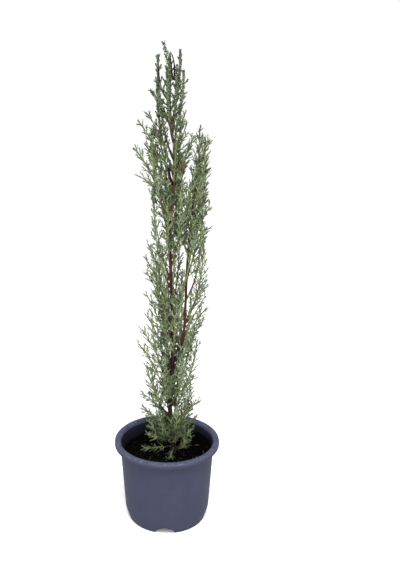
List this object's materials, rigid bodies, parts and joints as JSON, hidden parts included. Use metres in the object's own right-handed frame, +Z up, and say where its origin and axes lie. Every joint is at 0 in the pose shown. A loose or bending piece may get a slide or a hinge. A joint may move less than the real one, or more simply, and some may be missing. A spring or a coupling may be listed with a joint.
{
  "type": "potted italian cypress",
  "caption": "Young Italian cypress with a slim upright crown of feathery plumes on a thin trunk, standing in a round grey-blue plastic nursery pot of compost.",
  "frame": {"origin": "on the pot's axis, at the level that the pot's foot stands on", "axes": "+Z up along the pot's axis, +X to the viewer's right, -Y towards the viewer"},
  "size_m": [0.12, 0.12, 0.531],
  "materials": {
    "pot": "satin, lightly scuffed",
    "compost": "loose and damp",
    "bark": "rough",
    "foliage": "matte scale leaves"
  },
  "bodies": {
    "root": {"pot": "pot", "compost": "compost", "trunk": "bark", "second_leader": "bark", "bough_leader_01": "bark", "bough_leader_02": "bark", "bough_leader_03": "bark", "bough_leader_04": "bark", "bough_leader_05": "bark", "bough_leader_06": "bark", "bough_leader_07": "bark", "bough_leader_08": "bark", "bough_leader_09": "bark", "bough_leader_10": "bark", "bough_leader_11": "bark", "bough_leader_12": "bark", "bough_leader_13": "bark", "bough_leader_14": "bark", "bough_leader_15": "bark", "bough_leader_16": "bark", "bough_leader_17": "bark", "bough_leader_18": "bark", "bough_leader_19": "bark", "bough_leader_20": "bark", "bough_second_01": "bark", "bough_second_02": "bark", "bough_second_03": "bark", "bough_second_04": "bark", "bough_second_05": "bark", "bough_second_06": "bark", "foliage_leader_01": "foliage", "foliage_leader_02": "foliage", "foliage_leader_03": "foliage", "foliage_leader_04": "foliage", "foliage_leader_05": "foliage", "foliage_leader_06": "foliage", "foliage_leader_07": "foliage", "foliage_leader_08": "foliage", "foliage_leader_09": "foliage", "foliage_leader_10": "foliage", "foliage_leader_11": "foliage", "foliage_leader_12": "foliage", "foliage_leader_13": "foliage", "foliage_leader_14": "foliage", "foliage_leader_15": "foliage", "foliage_leader_16": "foliage", "foliage_leader_17": "foliage", "foliage_leader_18": "foliage", "foliage_leader_19": "foliage", "foliage_leader_20": "foliage", "foliage_second_01": "foliage", "foliage_second_02": "foliage", "foliage_second_03": "foliage", "foliage_second_04": "foliage", "foliage_second_05": "foliage", "foliage_second_06": "foliage", "foliage_leader_top": "foliage", "foliage_second_top": "foliage"}
  },
  "joints": []
}
